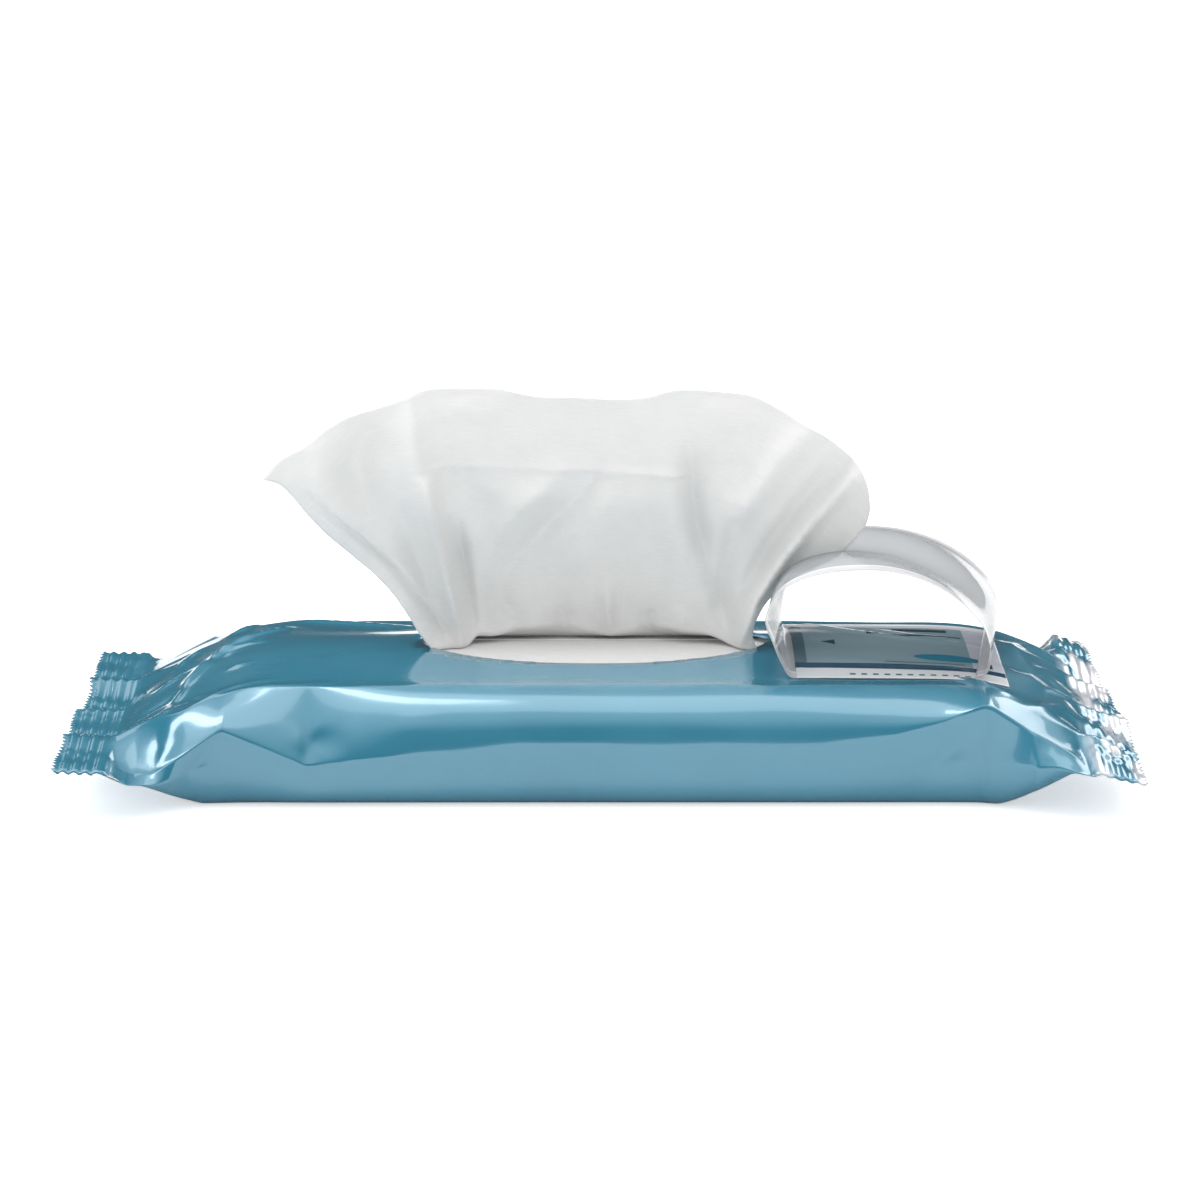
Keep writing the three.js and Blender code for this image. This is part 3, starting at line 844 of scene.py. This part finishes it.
    top_folds: tuple[Fold, ...] = (
        Fold(((-107, -34), (-103, -12), (-97.5, 7), (-90, 16)), 1.3, 1.6, 1.6),
        Fold(((-98, 4), (-89.7, 16.8), (-80.2, 25)), 1.2, 1.3, 1.6),
        Fold(((-95, 8), (-90, 9), (-85, 8)), 0.7, 1.1, 1.6),
        Fold(((-93, -13.5), (-90.5, -12.6), (-88, -11.2)), 0.5, 0.9, 1.6),
        Fold(((-108, 15), (-106, 21), (-103, 26)), 0.7, 1.2, 1.5),
        Fold(((-96, 31), (-92, 36), (-87, 40)), 0.8, 1.4, 1.5),
        Fold(((-110, 6), (-104, 5), (-98, 2)), -0.9, 2.0, 1.5),
        Fold(((-113, -8), (-107, -3), (-100, 0)), 0.6, 1.6, 1.5),
        Fold(((-114, -20), (-108, -20), (-103, -16)), -0.6, 1.8, 1.5),
        Fold(((-115, 24), (-109, 20), (-104, 12)), 0.6, 1.6, 1.5),
        Fold(((-100, -38), (-92, -31), (-82, -28)), 0.5, 1.5, 1.4),
        Fold(((-92, -36), (-80, -33), (-66, -31)), 0.4, 1.4, 1.4),
        Fold(((-58, -33), (-20, -35), (40, -34), (84, -36)), 0.3, 2.2, 1.2),
        Fold(((-80, 37.5), (-65, 32), (-50, 27)), 0.7, 1.5, 1.5),
        Fold(((104, -36), (110, -20), (114, -2)), -0.9, 2.2, 1.5),
        Fold(((107, -38), (114, -26), (118, -12)), 1.0, 1.6, 1.6),
        Fold(((100, -34), (94, -28), (88, -26)), 0.5, 1.6, 1.4),
        Fold(((88, -33), (70, -34), (52, -32)), 0.4, 1.4, 1.4),
        Fold(((112, 30), (106, 20), (108, 6)), 0.7, 2.2, 1.5),
        Fold(((116, 10), (110, 2), (108, -10)), 0.7, 1.6, 1.6),
    )

    def wrinkles(self, x: Array, y: Array) -> Array:
        """Raise the fine wrinkles that run over the top film."""
        folds = sum(fold.lift(x, y) for fold in self.top_folds)
        slack = 0.22 * ruffle(x * 0.5, y * 0.8, np.zeros_like(x), 17.0, 2)
        return folds + slack * smooth(12.0, 30.0, np.hypot(x / 2.2, y))

    def in_opening(self, places: Array) -> Array:
        """Mark the places inside the oval dispensing opening."""
        cx, cy, a, b = self.opening
        inside = ((places[:, 0] - cx) / a) ** 2 + ((places[:, 1] - cy) / b) ** 2 < 1.0
        return inside & (places[:, 2] > self.shoulder - 4)

    def snap_rim(self, piece: bpy.types.Object) -> None:
        """Draw the opening's cut edge onto a clean oval."""
        cx, cy, a, b = self.opening
        bm = bmesh.new()
        bm.from_mesh(piece.data)
        rim = {v for e in bm.edges if e.is_boundary for v in e.verts if v.co.z > 20 * MM}
        for vert in rim:
            angle = math.atan2((vert.co.y / MM - cy) / b, (vert.co.x / MM - cx) / a)
            vert.co.x = (cx + a * math.cos(angle)) * MM
            vert.co.y = (cy + b * math.sin(angle)) * MM
        bm.to_mesh(piece.data)
        bm.free()

    def build(self, shop: MaterialShop) -> bpy.types.Object:
        """Make the film and dress it.

        Args:
            shop: the finishes.

        Returns:
            The film's object.
        """
        columns = len(self.stations) - 1
        piece = grid_piece("film_pack", columns, 2 * self.half_steps, self.place, weld=0.02,
                           drop=self.in_opening)
        self.snap_rim(piece)
        piece.data.materials.append(shop.film)
        piece.data.materials.append(shop.lining)
        thicken(piece, self.film, -1.0, 1)
        install(piece, "film", "film_wrapper")
        return piece


# --- The reseal label ---
@dataclass
class ResealLabel:
    """The clear label: stuck down at the right, peeled from the left and rolled over."""

    front: float = -28.0
    back: float = 30.0
    lift: float = 0.16
    film: float = 0.12
    skew: float = 0.12
    lift_range: float = 12.0
    back_drop: float = 1.0
    print_length: float = 52.5
    tip_start: float = 142.0
    creases: tuple[Fold, ...] = (
        Fold(((52, 32), (64, 18), (77, 10), (98, 7.5)), 0.55, 1.2, 1.5),
        Fold(((70, 22), (80, 15), (93, 13)), 0.3, 1.2, 1.5),
        Fold(((58, -14), (75, -17), (92, -15)), 0.2, 2.0),
    )
    run: tuple[Point, ...] = (
        (101, 0), (92, 0), (83, 0), (74, 0), (65, 0), (56, 0), (50, 0), (47, 0.15),
        (44.9, 3.5), (42.6, 9), (40.6, 15.5), (44, 22), (52, 26), (62, 27.2), (72, 26.4), (82, 23),
        (90, 17.4), (95, 11), (96.2, 6), (95.4, 2.2), (92.6, 0.9),
    )
    steps: int = 220
    across: int = 40

    def place(self, i: Array, j: Array, pack: FilmPack) -> Array:
        """Bend the flat label along its run.

        Args:
            i: steps along the run.
            j: steps across the label.
            pack: the film that it lies on.

        Returns:
            Places in millimetres.
        """
        points = spline(self.run, i / self.steps)
        t = j / self.across
        y = mix(self.front, self.back, t)
        height = points[:, 1]
        lifted = np.clip(height / self.lift_range, 0, 1)
        turned = np.maximum(lifted, smooth(0.55, 0.65, i / self.steps))
        x = points[:, 0] + self.skew * (y - self.front) * turned
        base = mix(pack.top(x, y), pack.top(np.zeros_like(x) + 60.0, 0 * y + self.front), lifted)
        wave = 0.5 * np.sin(0.16 * y + 0.07 * x) * lifted
        crease = sum(fold.lift(x, y) for fold in self.creases) * (i < self.steps / 3) * (1 - lifted)
        z = base + self.lift + crease + height - self.back_drop * lifted * t + wave
        return np.stack([x, y, z], 1)

    def build(self, shop: MaterialShop, pack: FilmPack) -> bpy.types.Object:
        """Make the label and dress it.

        Args:
            shop: the finishes.
            pack: the film that it lies on.

        Returns:
            The label's object.
        """
        fine = spline(self.run, np.linspace(0, 1, 2001))
        lengths = np.concatenate([[0.0], np.cumsum(np.linalg.norm(np.diff(fine, axis=0), axis=1))])

        def marks(i: Array, j: Array) -> Array:
            """Measure the label's own length and depth, in millimetres."""
            along = np.interp(i / self.steps, np.linspace(0, 1, 2001), lengths)
            return np.stack([along, mix(self.front, self.back, j / self.across)], 1)

        piece = grid_piece("label_film", self.steps, self.across,
                           lambda i, j: self.place(i, j, pack), uv=marks)
        piece.data.materials.append(shop.label)
        thicken(piece, self.film, 0.0)
        install(piece, "label", "reseal_label")
        return piece


# --- The wipes ---
@dataclass
class WipeStack:
    """The folded wipes, hooked into one another and pressed by the film round them."""

    wipes: int = 39
    half_length: float = 88.0
    half_depth: float = 43.4
    bottom: float = 1.45
    top: float = 26.3
    head_room: float = 1.5
    swell: float = 1.12
    edge_room: float = 0.9
    ply: float = 0.24
    flat_size: tuple[float, float] = (0.176, 0.1765)
    leg_steps: int = 20
    bend_steps: int = 6
    length_steps: int = 16

    def levels(self, index: int) -> tuple[float, float]:
        """Give the heights of a wipe's upper and lower leg, as in the frame's solids."""
        upper = 0 if index == 1 else 2 * index - 3
        lower = 2 * index - 1 if index == self.wipes else 2 * index
        pitch = (self.top - self.bottom) / (2 * self.wipes)
        return self.top - (upper + 0.5) * pitch, self.top - (lower + 0.5) * pitch

    def settle(self, x: Array, y: Array, z: Array, pack: FilmPack) -> tuple[Array, Array]:
        """Let the stack's edges sag and round off until they lie inside the film.

        Args:
            x: places along the pack.
            y: places across it, in the square stack.
            z: heights in the square stack.
            pack: the film round it.

        Returns:
            The settled places across the pack, and the settled heights.
        """
        outer = smooth(26.0, self.half_depth, np.abs(y))
        room = pack.top(x, y * 1.02) - self.head_room - self.bottom - 1.6 * outer * smooth(50, 62, np.abs(x))
        share = np.minimum(room / (self.top - self.bottom), self.swell)
        height = self.bottom + (z - self.bottom) * share
        rounding = 1 - np.clip(height / pack.bottom_height, 0, 1)
        tuck = pack.bottom_inset * (1 - np.sqrt(1 - rounding**2))
        return y - np.sign(y) * outer * np.maximum(tuck - 2.0, 0.0), height

    def build(self, shop: MaterialShop, pack: FilmPack) -> None:
        """Make the folded wipes, each with its own slight unevenness.

        Args:
            shop: the finishes.
            pack: the film round them.
        """
        for index in range(1, self.wipes + 1):
            high, low = self.levels(index)
            side = 1 if index % 2 == 0 else -1
            middle, reach = (high + low) / 2, (high - low) / 2
            bend_y = self.half_depth - reach - self.ply / 2
            free_y = -(bend_y - self.edge_room)
            legs = np.linspace(free_y, bend_y, self.leg_steps + 1)
            turn = np.linspace(np.pi / 2, -np.pi / 2, self.bend_steps + 1)[1:-1]
            path_y = np.concatenate([legs, bend_y + reach * np.cos(turn), legs[::-1]])
            path_z = np.concatenate([np.full(len(legs), high), middle + reach * np.sin(turn),
                                     np.full(len(legs), low)])
            run = np.concatenate([[0.0], np.cumsum(np.hypot(np.diff(path_y), np.diff(path_z)))])

            def place(i: Array, j: Array) -> Array:
                """Bend the flat cloth round its crease and settle it in the stack."""
                x = mix(-self.half_length, self.half_length, i / self.length_steps)
                y, z = self.settle(x, side * path_y[j], path_z[j], pack)
                return np.stack([x * (1 + 0.004 * math.sin(3.7 * index)), y, z], 1)

            def marks(i: Array, j: Array) -> Array:
                """Measure the cloth's own length and width, in millimetres."""
                along = mix(-self.half_length, self.half_length, i / self.length_steps)
                return np.stack([along, run[j] + 13.0 * index], 1)

            name = f"wipe_{index + 1:02d}"
            rows = len(path_y) - 1
            piece = grid_piece(f"cloth_{index + 1:02d}", self.length_steps, rows, place, uv=marks)
            # The stack takes the cloth's copy that is painted lighter and glows, as painted light.
            piece.data.materials.append(shop.stack_cloth_painted_light)
            thicken(piece, self.ply, 0.0)
            install(piece, "cloth", name)
        LOG.info("folded %d cloths", self.wipes)


@dataclass
class RaisedWipe:
    """The wipe that stands up through the opening, with its lower part still in the pack."""

    ply: float = 0.28
    flat_size: tuple[float, float] = (0.176, 0.1765)
    across: int = 170
    inner_steps: int = 44
    outer_steps: int = 110
    inner_rows: tuple[tuple[float, float, float, float], ...] = (
        # y, depth below the film's outer face, left edge, right edge
        (-39, 1.35, -84, 82), (-10, 1.35, -85, 83), (26, 1.3, -85, 83), (29.5, 1.0, -85, 83),
        (27, 0.7, -84, 82), (23, 0.9, -74, 72), (19, 1.3, -54, 52), (15, 1.45, -43, 41),
    )
    top_edge: tuple[Point, ...] = (
        (-84.2, 73), (-79.4, 78), (-74.4, 80.6), (-69.5, 84.3), (-63.6, 87.7), (-56, 90), (-50.9, 92),
        (-45, 94.6), (-37, 95.4), (-31.5, 95.5), (-25, 95.2), (-17, 93.4), (-5, 92.7), (3, 92.5),
        (13, 93.3), (18, 94.8), (23, 95), (31, 94.5), (38.5, 93.2), (44, 90.5), (49.2, 87.4),
        (55.5, 84), (61.7, 79.1), (65.3, 75), (67, 70.5), (67.6, 65.4),
    )
    left_edge: tuple[Point, ...] = (
        (-42, 29.7), (-45.4, 34.0), (-48.4, 38.7), (-51.3, 42.6), (-55.6, 47), (-61.1, 51.8),
        (-68.6, 58.7), (-74.1, 64.8), (-77, 68.6), (-80, 71.6), (-84.2, 73),
    )
    right_edge: tuple[Point, ...] = (
        (39.5, 29.7), (38.4, 33), (38.9, 37), (41, 40.6), (43.5, 43.2), (48, 46.6), (53.8, 49.7),
        (59.2, 52.5), (63.5, 57), (66.6, 61.5), (67.6, 65.4),
    )
    folds: tuple[Fold, ...] = (
        Fold(((-47.5, 92), (-46, 78), (-44, 64)), -2.8, 4.0, 1.3),
        Fold(((-43, 72), (-40.5, 58), (-38, 45), (-35, 31)), -3.6, 1.9, 1.2),
        Fold(((-36, 60), (-34, 46), (-31.8, 31)), 2.2, 1.8, 1.2),
        Fold(((-50, 62), (-45, 48), (-41, 34)), 1.8, 3.0),
        Fold(((-39, 33), (-46, 42), (-52, 49.5), (-63, 59.5), (-73, 69)), 1.0, 0.9),
        Fold(((-58, 86), (-61, 74), (-57, 62)), 2.0, 5.0),
        Fold(((-70, 79), (-68, 68), (-62, 60)), -1.6, 4.0),
        Fold(((-10, 74), (-19, 66), (-28, 56)), -1.8, 4.0, 1.2),
        Fold(((0, 73), (-12, 61), (-22, 49)), 1.6, 3.2, 1.2),
        Fold(((4, 68), (-3, 56), (-5, 42)), -0.9, 5.0),
        Fold(((-36, 73), (-30, 66), (-28, 60)), 0.9, 4.0),
        Fold(((-24, 50), (-26, 40), (-22, 31)), 1.4, 3.6),
        Fold(((22.5, 79), (23.5, 68), (24.5, 60), (28, 46)), 2.4, 2.8, 1.2),
        Fold(((17, 76), (18, 64), (21, 50)), -0.9, 4.0),
        Fold(((32.5, 33), (30.5, 44), (33, 60)), 3.2, 3.4, 1.3),
        Fold(((62.5, 73), (53, 62), (45.5, 52), (39, 42), (35.5, 32)), -3.4, 2.0, 1.3),
        Fold(((57, 75), (48, 63), (41, 52), (36, 42)), 1.6, 2.2),
        Fold(((53, 86), (42, 74), (34, 62), (29, 44)), -2.2, 4.5, 1.1),
        Fold(((64, 79), (57, 69), (50, 59)), 1.4, 2.4),
        Fold(((31, 93), (30, 84)), -1.2, 6.0),
        Fold(((-31, 94), (-30, 86)), -1.0, 7.0),
        Fold(((-4, 93), (-4, 82)), 1.0, 8.0),
        Fold(((2, 42), (2.5, 31)), -2.0, 2.0, 1.3),
        Fold(((-9, 37), (-9, 31)), 1.0, 2.2),
        Fold(((12, 37), (12, 31)), 1.0, 2.2),
        Fold(((-16, 39), (-17, 31)), -0.9, 3.0),
        Fold(((20, 39), (21, 31)), -0.9, 3.0),
    )
    base_edge: tuple[Point, ...] = (
        (-42, 29.7), (-37, 29.6), (-33, 29.9), (-31, 31.6), (-26, 31.2), (-20, 32.3), (-9, 32.9),
        (-3, 31.2), (2, 30.6), (7, 31.2), (11, 32.7), (21, 32.5), (28, 31.8), (33, 30.0), (39.5, 29.7),
    )
    fold_gain: float = 2.0
    crease_height: float = 75.8
    crease_reach: Point = (-43.3, 22.4)

    def outer(self, u: Array, v: Array) -> Array:
        """Fill the raised part from its four edges.

        Args:
            u: part of the way from the left edge to the right one.
            v: part of the way from the opening to the top edge.

        Returns:
            Places in millimetres.
        """
        left, right = spline(self.left_edge, v), spline(self.right_edge, v)
        top = spline(self.top_edge, u)
        base = spline(self.base_edge, u)
        corner = [np.array(p) for p in (self.left_edge[0], self.right_edge[0],
                                        self.left_edge[-1], self.right_edge[-1])]
        u1, v1 = u[:, None], v[:, None]
        flat = ((1 - v1) * base + v1 * top + (1 - u1) * left + u1 * right
                - (1 - u1) * (1 - v1) * corner[0] - u1 * (1 - v1) * corner[1]
                - (1 - u1) * v1 * corner[2] - u1 * v1 * corner[3])
        x, z = flat[:, 0], flat[:, 1]
        return np.stack([x, self.depth(x, z, u, v), z], 1)

    def depth(self, x: Array, z: Array, u: Array, v: Array) -> Array:
        """Shape the raised part from front to back: its arch, folds and crease."""
        arch = 18.0 * (1 - (2 * u - 1) ** 2) * (1 - smooth(0.0, 0.6, v)) - 6.0 + 7.0 * smooth(0.0, 0.5, v)
        wings = -4.0 * smooth(0.55, 1.0, np.abs(2 * u - 1)) * smooth(0.3, 1.0, v)
        y = arch + wings
        for fold in self.folds:
            y = y + self.fold_gain * fold.lift(x, z)
        start, end = self.crease_reach
        span = smooth(start - 5, start + 3, x) * (1 - smooth(end - 3, end + 5, x))
        line = z - self.crease_height + 0.035 * (x - start) + 0.3 * np.sin(x * 0.08)
        y = y - 0.9 * span * np.exp(-((line / 0.8) ** 2))
        return y + 0.7 * ruffle(x, np.zeros_like(x), z, 13.0, 3)

    def place(self, i: Array, j: Array, pack: FilmPack) -> Array:
        """Bend the flat cloth: under the film first, then up through the opening.

        Args:
            i: steps across the cloth.
            j: steps from its inner end to its top edge.
            pack: the film that it lies under.

        Returns:
            Places in millimetres.
        """
        u = i / self.across
        v = np.clip((j - self.inner_steps) / self.outer_steps, 0, 1)
        outer = self.outer(u, v)
        rows = np.array(self.inner_rows)
        t = np.clip(j / self.inner_steps, 0, 1)
        inner_rows = spline(rows, t)
        x, y = mix(inner_rows[:, 2], inner_rows[:, 3], u), inner_rows[:, 0]
        inner = np.stack([x, y, pack.top(x, y) - inner_rows[:, 1]], 1)
        start = self.outer(u, np.zeros_like(u))
        gather = smooth(0.86, 1.0, t)[:, None]
        inner = mix(inner, start - np.array([0, 0, 0.4]), gather)
        return np.where((j < self.inner_steps)[:, None], inner, outer)

    def build(self, shop: MaterialShop, pack: FilmPack) -> bpy.types.Object:
        """Make the raised wipe and dress it.

        Args:
            shop: the finishes.
            pack: the film that its lower part lies under.

        Returns:
            The wipe's object.
        """
        rows = self.inner_steps + self.outer_steps
        width, length = (1000 * side for side in self.flat_size)

        def marks(i: Array, j: Array) -> Array:
            """Measure the cloth's own length and width, in millimetres."""
            return np.stack([width * i / self.across, length * j / rows], 1)

        piece = grid_piece("cloth_01", self.across, rows, lambda i, j: self.place(i, j, pack), uv=marks)
        piece.data.materials.append(shop.cloth)
        thicken(piece, self.ply, 0.0)
        install(piece, "cloth", "raised_wipe")
        return piece


# --- The studio ---
@dataclass
class Studio:
    """Camera, lights, surroundings and floor."""

    elevation: float = 13.0
    distance: float = 1.130
    target_height: float = 0.0414
    lens: float = 134.6
    sensor: float = 36.0
    fill: float = 0.85

    def camera(self) -> None:
        """Place the camera in front of the pack, looking a little down."""
        data = bpy.data.cameras.new("view")
        data.lens, data.sensor_width = self.lens, self.sensor
        data.clip_start, data.clip_end = 0.05, 20.0
        eye = bpy.data.objects.new("view", data)
        tilt = math.radians(self.elevation)
        eye.location = (0.0, -self.distance * math.cos(tilt),
                        self.target_height + self.distance * math.sin(tilt))
        eye.rotation_euler = (math.pi / 2 - tilt, 0.0, 0.0)
        bpy.context.scene.collection.objects.link(eye)
        bpy.context.scene.camera = eye

    def light(self, name: str, at: Sequence[float], towards: Sequence[float],
              size: tuple[float, float], power: float) -> None:
        """Hang one softbox.

        Args:
            name: the light's name.
            at: its place, in metres.
            towards: the point it faces.
            size: its width and height, in metres.
            power: its power, in watts.
        """
        data = bpy.data.lights.new(name, "AREA")
        data.shape, data.size, data.size_y = "RECTANGLE", *size
        data.energy = power
        lamp = bpy.data.objects.new(name, data)
        lamp.location = at
        aim = Vector(towards) - Vector(at)
        lamp.rotation_euler = aim.to_track_quat("-Z", "Y").to_euler()
        bpy.context.scene.collection.objects.link(lamp)

    def surroundings(self) -> None:
        """Surround the set with a dim room that looks white straight behind it."""
        world = bpy.data.worlds.new("room")
        world.use_nodes = True
        tree = world.node_tree
        n = Nodes(tree)
        ceiling = n.ramp(n.axes(n.add("TexCoord", out="Generated"))[2], 0.50, 0.84, 0.05, 1.0)
        path = tree.nodes.new("ShaderNodeLightPath")
        fill = n.add("Mix", {0: path.outputs["Is Glossy Ray"], 2: self.fill, 3: ceiling})
        seen = n.add("Mix", {0: path.outputs["Is Camera Ray"], 2: fill, 3: 1.0})
        n.feed(tree.nodes["Background"], {"Strength": seen, "Color": (1.0, 1.0, 1.0, 1.0)})
        bpy.context.scene.world = world

    def build(self, shop: MaterialShop) -> None:
        """Set up the whole studio.

        Args:
            shop: the finishes.
        """
        bm = bmesh.new()
        bmesh.ops.create_grid(bm, x_segments=4, y_segments=4, size=5.0)
        floor = finished("studio_floor", bm)
        floor.data.materials.append(shop.floor)
        self.surroundings()
        for name, at, towards, size, power in (
                ("overhead", (0.0, 0.05, 1.2), (0, 0, 0), (1.4, 1.0), 5.0),
                ("key", (-0.66, 0.15, 1.1), (-0.05, 0.05, 0.03), (0.32, 1.2), 5.5),
                ("left_panel", (-1.1, -0.1, 0.35), (-0.1, 0, 0.02), (0.7, 0.5), 0.7),
                ("back_left", (-0.7, 1.3, 0.9), (-0.12, 0, 0.02), (0.6, 0.5), 0.9),
                ("back_right", (0.7, 1.3, 0.85), (0.12, 0, 0.02), (0.6, 0.5), 2.6)):
            self.light(name, at, towards, size, power)
        view = bpy.context.scene.view_settings
        view.view_transform, view.look = "Standard", "None"
        view.exposure = 0.0


def main() -> None:
    """Load the frame, build the camera, the pieces and the studio."""
    logging.basicConfig(level=logging.INFO, format="%(name)s: %(message)s")
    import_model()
    studio = Studio()
    studio.camera()
    label, pack = ResealLabel(), FilmPack()
    shop = MaterialShop(label.print_length, label.tip_start)
    pack.build(shop)
    label.build(shop, pack)
    RaisedWipe().build(shop, pack)
    WipeStack().build(shop, pack)
    studio.build(shop)


if __name__ == "__main__":
    main()
